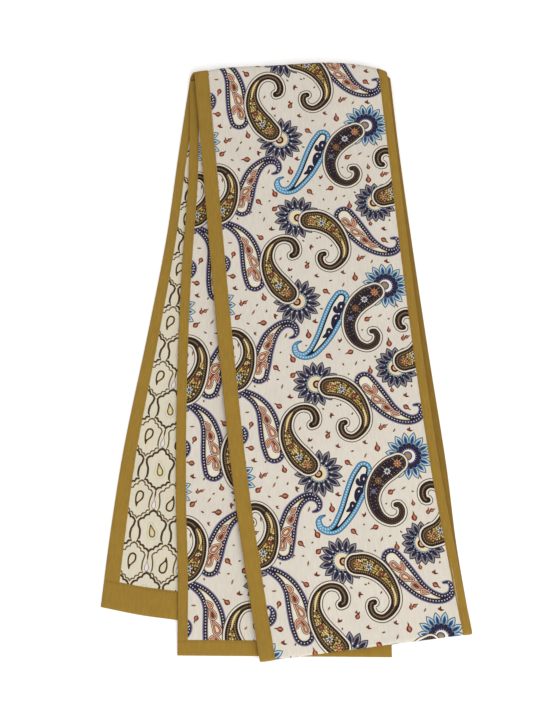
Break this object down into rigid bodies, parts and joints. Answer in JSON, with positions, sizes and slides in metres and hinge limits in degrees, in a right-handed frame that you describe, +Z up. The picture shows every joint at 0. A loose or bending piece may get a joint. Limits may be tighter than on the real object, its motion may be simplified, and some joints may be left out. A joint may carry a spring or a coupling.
{
  "type": "skinny scarf, folded flat",
  "caption": "Long narrow double-faced scarf with bound edges, folded flat over itself; paisley print on one face, trellis print on the other, plain gold-coloured binding all round.",
  "frame": {"origin": "under the middle of the folded scarf's bounding box, on the surface it lies on", "axes": "+Y along the folded length towards the top folds, +X to the right seen from above with the folds at the top, +Z up from the surface"},
  "size_m": [0.2264, 0.3976, 0.0078],
  "materials": {
    "paisley_print": "matte light woven cloth, cream with a navy, ochre, sky blue and coral paisley print",
    "trellis_print": "matte light woven cloth, ivory with an umber and ochre trellis print",
    "gold_cotton": "matte to faintly lustrous plain mustard-gold woven cloth"
  },
  "bodies": {
    "root": {"front_panel": "paisley_print", "front_left_binding": "gold_cotton", "front_right_binding": "gold_cotton", "inner_stretch": "gold_cotton", "middle_panel": "paisley_print", "middle_left_binding": "gold_cotton", "middle_right_binding": "gold_cotton", "middle_end_band": "gold_cotton", "back_panel": "trellis_print", "back_left_binding": "gold_cotton", "back_right_binding": "gold_cotton", "back_end_band": "gold_cotton"}
  },
  "joints": []
}
